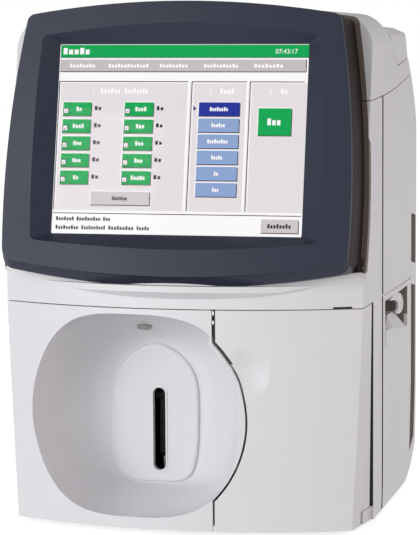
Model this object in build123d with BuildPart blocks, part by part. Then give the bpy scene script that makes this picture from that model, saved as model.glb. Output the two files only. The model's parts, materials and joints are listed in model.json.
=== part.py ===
from build123d import *
from math import atan2, cos, pi, radians, sin, sqrt
import os

# Benchtop blood gas analyzer, millimetres.
# +X is the viewer's right, the screen and the sample bay face -Y, +Z is up.
# The origin is the centre of the outline, on the surface the feet stand on.

# ---------------------------------------------------------------- driving dimensions
wall = 3.0                      # moulded wall of the housing parts
gap = 0.8                       # seam between neighbouring covers

# housing outline
body_bottom = 4.6               # lower edge of the covers above the table
rear_y = 155.2
front_apex_y = -145.6           # most forward point of the curved front
front_edge_y = -111.7           # where the curved front meets the sides
front_half_width = 152.2
side_half_width = 155.4
side_bend_y = 60.0
rear_corner_radius = 10.0
roof_front = 434.5              # roof height behind the screen
roof_front_y = -40.4
roof_rear = 409.5
roof_rear_y = 99.0
seam_height = 189.0             # top edge of the sample panel and of the door
top_seam_height = 356.6         # lower edge of the top cover, which rises to the rear
post_seam_y = -72.5             # rear edge of the door's and the sample panel's side returns
side_seam_y = -26.0             # seam between the front frame and the side panels
hinge_gap = 5.0                 # open joint behind the swinging door's rear edge

# tilted screen
screen_tilt = 12.41             # degrees back from upright
screen_foot = (0, -155.1, 189.1)
bezel_depth = 36.0
bezel_crown = 6.0
shell_front = 3.0               # where the bezel's dark side shell starts, behind the face
shell_wall = 3.0
screen_width = 211.2            # 10.4 inch display, 4:3
screen_height = 158.4
screen_middle = 141.8           # height of the display's centre along the tilted face
screen_recess = 7.0

# sample bay, a moulded dish in the left half of the front
bay_x = -37.2
bay_z = 99.2
bay_half_width = 92.2
bay_half_height = 85.2
bay_floor_y = -54.5             # face of the raised plate at the bottom of the dish
plate_x = -38.6
plate_z = 87.0
plate_half_width = 38.9
plate_half_height = 61.4
plate_rise = 3.0
lens_x = -45.5                  # status light in the ceiling of the dish
lens_y = -64.5
lens_z = 162.0
slot_x = -35.5
slot_z = 73.0
slot_length = 72.0
slot_width = 11.0

# cartridge door
door_arc_radius = 94.0          # the door's left edge follows the sample bay
door_arc_x = -32.5
door_arc_z = 96.0
door_edge_x = 34.5
scoop_x = 62.0                  # finger scoop across the door's left edge
scoop_y = -140.3
scoop_z = 137.0
scoop_depth = 4.2
door_gap = 1.8
door_thickness = 8.0
hinge_x = 146.5
hinge_y = -80.0
hinge_pin_radius = 2.0
running_clearance = 0.05

# cartridge chamber behind the door
chamber_low = (64.0, -98.0, 14.0)
chamber_high = (134.0, 66.0, 181.0)
chamber_wall = 2.0
pump_y = 0.0
pump_z = 62.0
pump_radius = 20.0
pump_disc_radius = 14.0
pump_roller_radius = 4.4

# sampler behind the slot
sampler_pivot_y = -38.0
sampler_pivot_z = 101.0
sampler_arm_length = 50.0
sampler_arm_width = 6.5
sampler_shaft_radius = 2.5

# printer under the cover at the right of the roof
printer_pivot_x = 63.5
printer_pivot_depth = 2.6       # of the hinge line below the roof
printer_front_y = 6.0
boss_front_y = 82.0             # the fixed hinge boss at the rear end of the cover
roll_x = 100.0
roll_z = 374.0
roll_radius = 22.0
roll_width = 57.0
roll_y = 56.0
spindle_radius = 5.6
platen_x = 141.0
platen_z = 392.0
platen_radius = 4.5
platen_journal = 1.5
cover_pin_radius = 1.2

# rear panel
fan_x = -70.0
fan_z = 250.0
fan_size = 80.0
fan_depth = 25.0
fan_bore = 38.0
fan_hub_radius = 17.0
fan_blades = 7
inlet_x = 90.0
inlet_z = 62.0
port_middle_z = 148.0
screw_x = 127.0                 # of the rear panel's screws, either side of the middle
screw_radius = 1.5
screw_head_radius = 3.0

face_plane = Plane(
    origin=screen_foot,
    x_dir=(1, 0, 0),
    z_dir=(0, -cos(radians(screen_tilt)), sin(radians(screen_tilt))),
)


def box_between(low, high, mode=Mode.ADD):
    """A box from its lowest to its highest corner, in the current part."""
    middle = tuple((a + b) / 2 for a, b in zip(low, high))
    size = [b - a for a, b in zip(low, high)]
    with Locations(middle):
        Box(*size, mode=mode)


def rod(start, direction, radius, length, mode=Mode.ADD):
    """A round bar from a start point along a direction, in the current part."""
    with BuildSketch(Plane(origin=start, z_dir=direction)) as section:
        Circle(radius)
    extrude(section.sketch, amount=length, mode=mode)


def save(part, name):
    """Label a finished piece and write it under its own name."""
    part.label = name
    export_step(part, f"parts/{name}.step")


# ---------------------------------------------------------------- housing outline
def plan_outline(inset):
    """The housing seen from above: bowed front, nearly parallel sides."""
    with BuildSketch(Plane.XY) as outline:
        with BuildLine():
            front = ThreePointArc(
                (-front_half_width, front_edge_y),
                (0, front_apex_y),
                (front_half_width, front_edge_y),
            )
            Polyline(
                front @ 1,
                (side_half_width, side_bend_y),
                (side_half_width, rear_y),
                (-side_half_width, rear_y),
                (-side_half_width, side_bend_y),
                front @ 0,
            )
        make_face()
        fillet(outline.vertices().group_by(Axis.Y)[-1], rear_corner_radius)
        if inset:
            offset(amount=-inset)
    return outline.sketch


def front_outline(inset, open_base):
    """The housing seen from the front: slightly barrelled sides, arched roof."""
    with BuildSketch(Plane.XZ) as outline:
        with BuildLine():
            lower = Line((-153.2, body_bottom), (153.2, body_bottom))
            right = ThreePointArc(lower @ 1, (156.2, 190), (153, 398))
            shoulder = ThreePointArc(right @ 1, (146, 418), (124, 427.6))
            roof = ThreePointArc(shoulder @ 1, (0, roof_front), (-124, 427.6))
            left_shoulder = ThreePointArc(roof @ 1, (-146, 418), (-153, 398))
            ThreePointArc(left_shoulder @ 1, (-156.2, 190), lower @ 0)
        make_face()
        if inset:
            offset(amount=-inset)
        if open_base:
            with Locations((0, 10)):
                Rectangle(2 * (153.2 - inset), 20)
    return outline.sketch


def side_outline(inset, open_base):
    """The housing seen from its right: leaning screen wall, rounded rear corners."""
    screen_wall = face_plane.offset(-bezel_depth)
    foot = screen_wall.from_local_coords((0, 42, 0))
    head = screen_wall.from_local_coords((0, 258.5, 0))
    with BuildSketch(Plane.YZ) as outline:
        with BuildLine():
            Polyline(
                (80, body_bottom),
                (front_apex_y - 6, body_bottom),
                (front_apex_y - 6, foot.Z),
                (foot.Y, foot.Z),
                (head.Y, head.Z),
                (roof_front_y, roof_front),
                (roof_rear_y, roof_rear),
                (107, 388.5),
            )
            ThreePointArc((107, 388.5), (133, 360), (rear_y, 305))
            Line((rear_y, 305), (rear_y, 40))
            ThreePointArc((rear_y, 40), (124, 13.5), (80, body_bottom))
        make_face()
        if inset:
            offset(amount=-inset)
        if open_base:
            start = front_apex_y - 6 + inset
            with Locations(((start + 80) / 2, 10)):
                Rectangle(80 - start, 20)
    return outline.sketch


def corner_wedge(side, inset):
    """What the front corners lose below the seam, where they narrow to the base."""
    with BuildPart() as wedge:
        for height, corner_x, seam_x in ((0, 143.2, 150.6), (seam_height, 152.5, 152.6)):
            with BuildSketch(Plane.XY.offset(height)):
                with BuildLine():
                    Polyline(
                        (side * (seam_x - inset), post_seam_y),
                        (side * (corner_x - inset), -118),
                        (side * 175, -118),
                        (side * 175, post_seam_y),
                        close=True,
                    )
                make_face()
        loft(ruled=True)
    return wedge.part


def housing(inset, open_base=False):
    """The housing as one block, drawn in by an even inset; the base can run down open."""
    with BuildPart() as block:
        extrude(plan_outline(inset), amount=460)
        extrude(front_outline(inset, open_base), amount=200, both=True, mode=Mode.INTERSECT)
        extrude(side_outline(inset, open_base), amount=200, both=True, mode=Mode.INTERSECT)
        for side in (-1, 1):
            add(corner_wedge(side, inset), mode=Mode.SUBTRACT)
    return block.part


os.makedirs("parts", exist_ok=True)

outer_body = housing(0)
inner_body = housing(wall, open_base=True)

with BuildPart() as housing_skin:
    add(outer_body)
    add(inner_body, mode=Mode.SUBTRACT)


# ---------------------------------------------------------------- front view regions
def door_outline(inset):
    """The door seen from the front: its left edge bulges round the sample bay."""
    half_chord = sqrt(door_arc_radius**2 - (door_edge_x - door_arc_x) ** 2)
    top = seam_height - gap
    with BuildSketch(Plane.XZ) as outline:
        with BuildLine():
            upper = Polyline(
                (170, top), (door_edge_x, top), (door_edge_x, door_arc_z + half_chord)
            )
            bulge = ThreePointArc(
                upper @ 1,
                (door_arc_x + door_arc_radius, door_arc_z),
                (door_edge_x, door_arc_z - half_chord),
            )
            Polyline(bulge @ 1, (door_edge_x, body_bottom), (170, body_bottom), (170, top))
        make_face()
        bends = outline.vertices().filter_by_position(Axis.Z, door_arc_z - 70, door_arc_z + 70)
        fillet(bends, 14)
        if inset:
            offset(amount=-inset)
    return outline.sketch


# ---------------------------------------------------------------- sample bay dish
def signed_power(value, power):
    return abs(value) ** power * (1 if value >= 0 else -1)


def rim_point(angle, grow):
    """A point of the dish's rim: a superellipse, rounder at the left than the right."""
    power = 2 / (2.6 + 0.27 * cos(angle) - 0.3 * cos(2 * angle))
    return (
        bay_x + (bay_half_width + grow) * signed_power(cos(angle), power),
        bay_z + (bay_half_height + grow) * signed_power(sin(angle), power),
    )


def plate_point(angle, grow):
    """A point of the raised plate's outline: barrel shaped with a flat foot."""
    power = 2 / (3.2 - 1.3 * sin(angle))
    return (
        plate_x + (plate_half_width + grow) * signed_power(cos(angle), power),
        plate_z + (plate_half_height + grow) * signed_power(sin(angle), power),
    )


def dish(grow, ruled=False):
    """The space inside the dish, grown evenly; its wall sweeps round into the plate."""
    floor_y = bay_floor_y + plate_rise
    # how far the wall still stands out from the plate, from the rim to the floor
    spread_at = (
        (-160, 1.0), (-128, 0.985), (-98, 0.87), (-74, 0.6), (floor_y - 6, 0.28), (floor_y, 0.03),
    )
    steps = 24
    with BuildPart() as space:
        for depth_y, spread in spread_at:
            points = []
            for step in range(steps):
                angle = 2 * pi * step / steps
                rim_x, rim_z = rim_point(angle, grow)
                low_x, low_z = plate_point(angle, grow)
                points.append((low_x + (rim_x - low_x) * spread, low_z + (rim_z - low_z) * spread))
            moved = grow if depth_y > -100 else 0
            with BuildSketch(Plane.XZ.offset(-depth_y - moved)):
                with BuildLine():
                    Spline(*points, periodic=True)
                make_face()
        loft(ruled=ruled)
    return space.part


def finger_scoop(grow):
    """A soft dent across the door's left edge, to pull the door open with."""
    centre = (scoop_x, scoop_y, scoop_z)
    depth = scoop_depth + grow
    with BuildPart() as scoop:
        with BuildSketch(Plane(origin=centre, x_dir=(0, 0, 1), z_dir=(-0.98, -0.17, 0))):
            with BuildLine():
                hollow = ThreePointArc((0, depth), (7, 0.86 * depth), (13 + grow, 0.5 * depth))
                flare = ThreePointArc(hollow @ 1, (19 + grow, 0.14 * depth), (27 + grow, 0))
                Polyline(flare @ 1, (27 + grow, -20), (0, -20), (0, depth))
            make_face()
        revolve(axis=Axis(centre, (-0.17, 0.98, 0)))
    return scoop.part


dish_space = dish(0)
scoop_space = finger_scoop(0)

lens_place = Plane(origin=(lens_x, lens_y, lens_z), x_dir=(1, 0, 0), z_dir=(0, -0.6, -0.8))

with BuildPart() as raised_plate:
    plate_points = [plate_point(2 * pi * step / 24, -1.0) for step in range(24)]
    with BuildSketch(Plane.XZ.offset(-bay_floor_y - plate_rise - 1)) as plate:
        with BuildLine():
            Spline(*plate_points, periodic=True)
        make_face()
    extrude(plate.sketch, amount=plate_rise + 1)
    fillet(raised_plate.faces().sort_by(Axis.Y)[0].edges(), 2.4)

with BuildPart() as sample_panel:
    add(housing_skin.part)
    box_between((-200, -200, 0), (80, post_seam_y, seam_height - gap), mode=Mode.INTERSECT)
    with BuildPart(mode=Mode.PRIVATE) as backing:
        add(dish(2.5, ruled=True))
        add(finger_scoop(wall))
        add(inner_body, mode=Mode.INTERSECT)
    add(backing.part)
    extrude(door_outline(-door_gap), amount=200, mode=Mode.SUBTRACT)
    add(dish_space, mode=Mode.SUBTRACT)
    add(raised_plate.part)
    with BuildSketch(Plane.XZ.offset(-bay_floor_y - plate_rise - 10)) as slot:
        with Locations((slot_x, slot_z)):
            SlotOverall(slot_length, slot_width, rotation=90)
    extrude(slot.sketch, amount=20, mode=Mode.SUBTRACT)
    add(scoop_space, mode=Mode.SUBTRACT)
    with BuildSketch(lens_place.offset(-8)) as lens_hole:
        Ellipse(6.3, 3.3)
    extrude(lens_hole.sketch, amount=16, mode=Mode.SUBTRACT)
save(sample_panel.part, "sample_panel")

with BuildPart() as status_lens:
    with BuildSketch(lens_place.offset(-3)) as lens_base:
        Ellipse(6.3, 3.3)
    extrude(lens_base.sketch, amount=4)
    fillet(status_lens.faces().sort_by(Axis.Z)[0].edges(), 0.8)
save(status_lens.part, "status_lens")

# ---------------------------------------------------------------- screen bezel
across_plane = Plane(
    origin=screen_foot,
    x_dir=(1, 0, 0),
    z_dir=(0, sin(radians(screen_tilt)), cos(radians(screen_tilt))),
)


def bezel_outline(depth, side_grow, top_grow, low_side, low_middle):
    """The bezel's outline at a depth along the tilted face, with rounded corners."""
    half = 145.2 + side_grow
    top_corner = (132.4 + side_grow, 244.5 + top_grow)
    low_corner = (half, low_side)
    with BuildLine(mode=Mode.PRIVATE):
        top = ThreePointArc((-top_corner[0], top_corner[1]), (0, 255 + top_grow), top_corner)
        right = ThreePointArc(top_corner, (144.6 + side_grow, 145), low_corner)
        bottom = ThreePointArc(low_corner, (0, low_middle), (-half, low_side))
        left = ThreePointArc((-half, low_side), (-144.6 - side_grow, 145), top @ 0)
    sides = (top, right, bottom, left)
    cuts = (5, 5, 9, 9)         # how far each corner's rounding reaches, clockwise from top left
    with BuildSketch(face_plane.offset(depth)) as outline:
        with BuildLine():
            for index, side in enumerate(sides):
                after = sides[(index + 1) % 4]
                cut_start = cuts[index]
                cut_end = cuts[(index + 1) % 4]
                start = side @ (cut_start / side.length)
                end = side @ (1 - cut_end / side.length)
                onward = after @ (cut_end / after.length)
                ThreePointArc(start, side @ 0.5, end)
                corner = side @ 1
                bulge = corner + ((end + onward) * 0.5 - corner) * (2 - sqrt(2))
                ThreePointArc(end, bulge, onward)
        make_face()
    return outline.sketch


def tilted_box(half_width, low, high, front, back, mode=Mode.ADD):
    """A box against the tilted face, between two heights and two depths."""
    with BuildSketch(face_plane.offset(-back)) as section:
        with Locations((0, (low + high) / 2)):
            Rectangle(2 * half_width, high - low)
    extrude(section.sketch, amount=back - front, mode=mode)


with BuildPart() as bezel_block:
    loft(
        [
            bezel_outline(bezel_crown + 1, 0, 0, 40, 26.8),
            bezel_outline(0, 0, 0, 40, 26.8),
            bezel_outline(-8, 1.2, 0.8, 34, 19.6),
            bezel_outline(-bezel_depth, 4.2, 3, 38, 20.5),
        ],
        ruled=True,
    )
    with BuildSketch(across_plane) as crown:
        with BuildLine():
            bow = ThreePointArc((-160, 1.28), (0, -bezel_crown), (160, 1.28))
            Polyline(bow @ 1, (160, 40), (-160, 40), bow @ 0)
        make_face()
    extrude(crown.sketch, amount=300, mode=Mode.INTERSECT)

with BuildPart() as bezel_shell:
    add(bezel_block.part)
    tilted_box(200, -60, 300, -20, shell_front, mode=Mode.SUBTRACT)
    extrude(
        bezel_outline(-bezel_depth - 1, -shell_wall, -shell_wall, -60, -62),
        amount=bezel_depth + 20,
        mode=Mode.SUBTRACT,
    )
save(bezel_shell.part, "bezel_shell")

window_low = screen_middle - screen_height / 2
window_high = screen_middle + screen_height / 2
with BuildPart() as bezel:
    add(bezel_block.part)
    # bevelled recess round the display
    with BuildSketch(face_plane.offset(-screen_recess)) as window:
        with Locations((0, screen_middle)):
            RectangleRounded(screen_width + 0.4, screen_height + 0.4, 1)
    with BuildSketch(face_plane.offset(bezel_crown)) as rim:
        with BuildLine():
            top = ThreePointArc((-124.2, 229.4), (0, 236.6), (124.2, 229.4))
            right = ThreePointArc(top @ 1, (131.2, 141), (128.2, 53))
            bottom = ThreePointArc(right @ 1, (0, 49), (-128.2, 53))
            ThreePointArc(bottom @ 1, (-131.2, 141), top @ 0)
        make_face()
        fillet(rim.vertices(), 7)
    loft([window.sketch, rim.sketch], ruled=True, mode=Mode.SUBTRACT)
    extrude(rim.sketch, amount=3, mode=Mode.SUBTRACT)
    tilted_box(112.4, 56.6, 226.4, screen_recess, 9, mode=Mode.SUBTRACT)
    tilted_box(116, 52, 231, 9, 16, mode=Mode.SUBTRACT)
    with BuildSketch(face_plane.offset(-bezel_depth)) as back_pocket:
        with Locations((0, 138)):
            RectangleRounded(258, 196, 6)
    extrude(back_pocket.sketch, amount=bezel_depth - 16, mode=Mode.SUBTRACT)
    add(bezel_shell.part, mode=Mode.SUBTRACT)
save(bezel.part, "screen_bezel")

with BuildPart() as touch_glass:
    tilted_box(112.2, 56.8, 226.2, screen_recess, 8.4)
save(touch_glass.part, "touch_glass")

with BuildPart() as lcd_panel:
    tilted_box(113, 55.5, 227.5, 9, 15.5)
    tilted_box(screen_width / 2, window_low, window_high, 8.95, 9.2)
save(lcd_panel.part, "lcd_panel")

with BuildPart() as display_board:
    tilted_box(80, 75, 205, 19, 20.6)
    for column in (-72, 72):
        for height in (82, 198):
            with BuildSketch(face_plane.offset(-19)) as spacer:
                with Locations((column, height)):
                    Circle(3)
            extrude(spacer.sketch, amount=3.5)
    for column, height, width, tall in ((-40, 120, 34, 34), (22, 120, 18, 24), (30, 170, 40, 12)):
        with BuildSketch(face_plane.offset(-24)) as chip:
            with Locations((column, height)):
                Rectangle(width, tall)
        extrude(chip.sketch, amount=3.4)
save(display_board.part, "display_board")


# ---------------------------------------------------------------- front frame
def above_top_seam(drop):
    """Everything above the top cover's lower seam, which rises to the rear."""
    with BuildPart() as space:
        with BuildSketch(Plane.YZ) as profile:
            with BuildLine():
                level = Line((-200, top_seam_height - drop), (-90, top_seam_height - drop))
                rise = ThreePointArc(
                    level @ 1,
                    (3, top_seam_height + 3.7 - drop),
                    (111, top_seam_height + 14.4 - drop),
                )
                end = Line(rise @ 1, (200, top_seam_height + 28 - drop))
                Polyline(end @ 1, (200, 500), (-200, 500), level @ 0)
            make_face()
        extrude(profile.sketch, amount=200, both=True)
    return space.part


def lip_section(height, middle_y):
    """The lip below the screen seen from above, at a height."""
    with BuildSketch(Plane.XY.offset(height)) as section:
        with BuildLine():
            front = ThreePointArc((-131, -120.8), (0, middle_y), (131, -120.8))
            Polyline(front @ 1, (131, -114))
            back = ThreePointArc((131, -114), (0, -136), (-131, -114))
            Line(back @ 1, front @ 0)
        make_face()
    return section.sketch


lip_top = 208.5
lip_full = 203.5
lip_foot = 197.2
with BuildPart() as lip:
    extrude(lip_section(lip_full, -153.6), amount=lip_top - lip_full)
    loft([lip_section(lip_foot, front_apex_y - 0.2), lip_section(lip_full, -153.6)], ruled=True)
    with BuildSketch(Plane.XZ) as kept:
        with BuildLine():
            lower = ThreePointArc((-130.8, 212.7), (0, lip_foot), (128, 210.5))
            Polyline(lower @ 1, (128, 240), (-130.8, 240), lower @ 0)
        make_face()
    extrude(kept.sketch, amount=200, mode=Mode.INTERSECT)

trim_width = 4.1                # of the trim that shows beside the bezel
trim_depth = 9.0
trim_end = 34.0                 # height of the trim's lower ends along the tilted face

with BuildPart() as trim_space:
    extrude(
        bezel_outline(-bezel_depth - trim_depth, 4.2 + trim_width, 5, 26, 20),
        amount=trim_depth,
    )
    tilted_box(200, 0, trim_end, bezel_depth - 1, bezel_depth + 12, mode=Mode.SUBTRACT)

with BuildPart() as bezel_surround:
    add(trim_space.part)
    extrude(
        bezel_outline(-bezel_depth - trim_depth - 1, 0.5, -3, 20, 14),
        amount=trim_depth + 2,
        mode=Mode.SUBTRACT,
    )
    with BuildPart(mode=Mode.PRIVATE) as seam_slab:
        add(above_top_seam(gap / 2))
        add(above_top_seam(-gap / 2), mode=Mode.SUBTRACT)
    add(seam_slab.part, mode=Mode.SUBTRACT)
save(bezel_surround.part, "bezel_surround")

with BuildPart() as display_hole:
    tilted_box(125, 45, 235, bezel_depth - 5, bezel_depth + 8)

side_cut_front = side_seam_y - hinge_gap / 2
side_cut_rear = side_seam_y + hinge_gap / 2
with BuildPart() as seam_flange:
    add(inner_body)
    add(housing(wall + 2, open_base=True), mode=Mode.SUBTRACT)
    box_between((-200, side_cut_front - 6, 20), (200, side_cut_rear + 4, 350), mode=Mode.INTERSECT)
with BuildPart() as flange_relief:
    add(inner_body)
    add(housing(wall + 0.3, open_base=True), mode=Mode.SUBTRACT)
    box_between((-200, side_cut_front, 0), (200, side_cut_rear + 16, 360), mode=Mode.INTERSECT)

with BuildPart() as front_frame:
    add(housing_skin.part)
    box_between((-200, -200, 0), (200, side_cut_front, 400), mode=Mode.INTERSECT)
    box_between((0, -200, 0), (200, post_seam_y + hinge_gap, seam_height), mode=Mode.SUBTRACT)
    box_between((-200, -200, 0), (0.1, post_seam_y + gap, seam_height), mode=Mode.SUBTRACT)
    add(above_top_seam(gap / 2), mode=Mode.SUBTRACT)
    add(seam_flange.part)
    add(flange_relief.part, mode=Mode.SUBTRACT)
    add(lip.part)
    add(bezel_block.part, mode=Mode.SUBTRACT)
    add(trim_space.part, mode=Mode.SUBTRACT)
    add(display_hole.part, mode=Mode.SUBTRACT)
    # shadow slit above the door, near its hinge side
    box_between((129, -160, seam_height - 1), (144, -100, seam_height + 1.5), mode=Mode.SUBTRACT)
save(front_frame.part, "front_frame")

# ---------------------------------------------------------------- printer cover outline
roof_slope = (roof_front - roof_rear) / (roof_rear_y - roof_front_y)
roof_lean = atan2(roof_front - roof_rear, roof_rear_y - roof_front_y)
pivot_z = roof_front + roof_front_y * roof_slope - printer_pivot_depth / cos(roof_lean)
along_pivot = (0, cos(roof_lean), -sin(roof_lean))
cover_pin_length = 96


def pivot_point(y):
    """A point on the printer cover's hinge line, at a depth from front to rear."""
    return (printer_pivot_x, y, pivot_z - y * roof_slope)


def printer_region(grow, left_x):
    """The corner of the roof, side and back that the printer cover takes."""
    with BuildPart() as space:
        with BuildSketch(Plane.YZ.offset(left_x)) as profile:
            with BuildLine():
                Polyline(
                    (printer_front_y - grow, 440),
                    (printer_front_y + 5 - grow, 414),
                    (52 - grow, 382 - grow),
                    (130, 389.6 - grow),
                    (130, 440),
                    close=True,
                )
            make_face()
        extrude(profile.sketch, amount=140)
        box_between((left_x - 5, boss_front_y + grow, 380), (70 - grow, 140, 440),
                    mode=Mode.SUBTRACT)
    return space.part


def printer_block(inset):
    """The printer cover's own outline: flatter on top and squarer than the shoulder."""
    with BuildPart() as block:
        with BuildSketch(Plane.XZ) as outline:
            with BuildLine():
                Polyline(
                    (55, 425.6 - inset), (146, 414 - inset), (152.6 - inset, 408.4 - inset),
                    (153.6 - inset, 376), (55, 376), (55, 425.6 - inset),
                )
            make_face()
            fillet(outline.vertices().filter_by_position(Axis.X, 140, 153.5 - inset), 4)
        extrude(outline.sketch, amount=200, both=True)
        extrude(side_outline(inset, False), amount=200, both=True, mode=Mode.INTERSECT)
        extrude(plan_outline(inset), amount=460, mode=Mode.INTERSECT)
    return block.part


with BuildPart() as top_cover:
    add(housing_skin.part)
    add(above_top_seam(-gap / 2), mode=Mode.INTERSECT)
    add(bezel_block.part, mode=Mode.SUBTRACT)
    add(trim_space.part, mode=Mode.SUBTRACT)
    add(display_hole.part, mode=Mode.SUBTRACT)
    with BuildPart(mode=Mode.PRIVATE) as pin_bosses:
        box_between((58, printer_front_y - 8, 400), (69, printer_front_y - 0.8, 440))
        box_between((58, boss_front_y + gap, 400), (69.2, 98, 440))
        add(outer_body, mode=Mode.INTERSECT)
        box_between((50, -20, 380), (80, 70, 416), mode=Mode.SUBTRACT)
        box_between((50, 70, 380), (80, 120, 404), mode=Mode.SUBTRACT)
    add(pin_bosses.part)
    add(printer_region(gap, printer_pivot_x - 3.2), mode=Mode.SUBTRACT)
    rod(pivot_point(-2), along_pivot, cover_pin_radius, cover_pin_length, mode=Mode.SUBTRACT)
save(top_cover.part, "top_cover")

with BuildPart() as printer_cover:
    add(printer_block(0))
    add(printer_block(wall), mode=Mode.SUBTRACT)
    add(printer_region(0, printer_pivot_x), mode=Mode.INTERSECT)
    rod(pivot_point(printer_front_y + 4), along_pivot, printer_pivot_depth, 70)
    rod(pivot_point(-20), along_pivot, cover_pin_radius + running_clearance, 130,
        mode=Mode.SUBTRACT)
save(printer_cover.part, "printer_cover")

with BuildPart() as printer_cover_pin:
    rod(pivot_point(-2), along_pivot, cover_pin_radius, cover_pin_length)
save(printer_cover_pin.part, "printer_cover_pin")


# ---------------------------------------------------------------- side and rear panels
def side_pocket(outer_points, inner_points, inner_x, grow):
    """A pocket in the right side, between an outline at the skin and one deeper in."""
    with BuildPart() as space:
        for points, x in ((outer_points, 156.5), (inner_points, inner_x - grow)):
            with BuildSketch(Plane.YZ.offset(x)):
                with BuildLine():
                    Polyline(*points, close=True)
                make_face()
                if grow:
                    offset(amount=grow, kind=Kind.INTERSECTION)
        loft(ruled=True)
    return space.part


hook_pocket = (
    [(-15, 183.5), (-15, 158.5), (96, 148), (96, 184.5)],
    [(-12, 181.5), (-12, 156), (93, 147), (93, 182.5)],
    139,
)
hook_ramp = (
    [(-15, 158.5), (-15, 140), (96, 140), (96, 148)],
    [(-12, 168), (-12, 140), (93, 140), (93, 161)],
    139,
)
lower_strip = (
    [(117, 184), (117, 27), (141, 40), (141, 180)],
    [(120, 181), (120, 34), (138, 43), (138, 177)],
    148,
)
upper_strip = (
    [(117, 248), (117, 203), (143, 199), (143, 244)],
    [(120, 245), (120, 206), (140, 202), (140, 241)],
    148,
)
side_pockets = (hook_pocket, lower_strip, upper_strip)

rear_panel_x = 135.0
screw_heights = (90, 270)

with BuildPart() as side_panel_left:
    add(housing_skin.part)
    box_between((rear_panel_x + gap / 2, side_cut_rear, 0), (200, 200, 400), mode=Mode.INTERSECT)
    add(above_top_seam(gap / 2), mode=Mode.SUBTRACT)
    # inner flange that carries the rear panel
    with BuildPart(mode=Mode.PRIVATE) as rear_flange:
        add(inner_body)
        box_between((118, rear_y - 2 * wall, 50), (200, rear_y - wall, 300), mode=Mode.INTERSECT)
    add(rear_flange.part)
    for height in screw_heights:
        rod((screw_x, rear_y + 5, height), (0, -1, 0), screw_radius, 20, mode=Mode.SUBTRACT)

with BuildPart() as side_panel_right:
    add(side_panel_left.part)
    for outer_points, inner_points, inner_x in side_pockets:
        add(side_pocket(outer_points, inner_points, inner_x, 0), mode=Mode.SUBTRACT)
    # line that carries the front seam on round the side
    with BuildPart(mode=Mode.PRIVATE) as groove:
        add(outer_body)
        add(housing(1), mode=Mode.SUBTRACT)
        box_between((140, -30, 188.2), (200, 116, 190), mode=Mode.INTERSECT)
    add(groove.part, mode=Mode.SUBTRACT)
save(side_panel_right.part, "side_panel_right")
save(mirror(side_panel_left.part, about=Plane.YZ), "side_panel_left")

# dark liners that close the openings in the right panel from behind
with BuildPart() as recess_liners:
    for outer_points, inner_points, inner_x in side_pockets:
        with BuildPart(mode=Mode.PRIVATE) as liner:
            add(side_pocket(outer_points, inner_points, inner_x, 2.5))
            add(inner_body, mode=Mode.INTERSECT)
            add(side_pocket(outer_points, inner_points, inner_x, 0), mode=Mode.SUBTRACT)
        add(liner.part)
save(recess_liners.part, "recess_liners")

with BuildPart() as rear_panel:
    add(housing_skin.part)
    box_between((-rear_panel_x + gap / 2, 80, 0), (rear_panel_x - gap / 2, 200, 400),
                mode=Mode.INTERSECT)
    add(above_top_seam(gap / 2), mode=Mode.SUBTRACT)
    rod((fan_x, 100, fan_z), (0, 1, 0), fan_bore, 80, mode=Mode.SUBTRACT)
    # openings for the power inlet, its switch and the data ports
    box_between((inlet_x - 14.2, 140, inlet_z - 10.4), (inlet_x + 14.2, 170, inlet_z + 10.4),
                mode=Mode.SUBTRACT)
    box_between((inlet_x - 9.2, 140, inlet_z + 18), (inlet_x + 9.2, 170, inlet_z + 44),
                mode=Mode.SUBTRACT)
    box_between((45, 140, port_middle_z - 8.2), (115.2, 170, port_middle_z + 8.2),
                mode=Mode.SUBTRACT)
    with BuildSketch(Plane.XZ.offset(-200)) as vents:
        with GridLocations(0, 9, 1, 9):
            with Locations((-70, 120)):
                SlotOverall(84, 4)
        with GridLocations(0, 9, 1, 7):
            with Locations((70, 240)):
                SlotOverall(84, 4)
    extrude(vents.sketch, amount=60, mode=Mode.SUBTRACT)
    for side in (-1, 1):
        for height in screw_heights:
            place = (side * screw_x, rear_y + 5, height)
            rod(place, (0, -1, 0), screw_radius, 20, mode=Mode.SUBTRACT)
            rod(place, (0, -1, 0), screw_head_radius + 0.4, 6.8, mode=Mode.SUBTRACT)
save(rear_panel.part, "rear_panel")

with BuildPart() as rear_screws:
    for side in (-1, 1):
        for height in screw_heights:
            rod((side * screw_x, rear_y - 0.2, height), (0, -1, 0), screw_head_radius, 1.6)
            rod((side * screw_x, rear_y - 1, height), (0, -1, 0), screw_radius, 9)
            # cross recess
            with Locations((side * screw_x, rear_y - 0.5, height)):
                Box(4, 1, 0.8, mode=Mode.SUBTRACT)
                Box(0.8, 1, 4, mode=Mode.SUBTRACT)
save(rear_screws.part, "rear_screws")

# ---------------------------------------------------------------- cartridge door
door_inner = housing(door_thickness, open_base=True)
door_top = seam_height - gap
knuckles = ((17.0, 37.0), (165.0, door_top))

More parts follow.
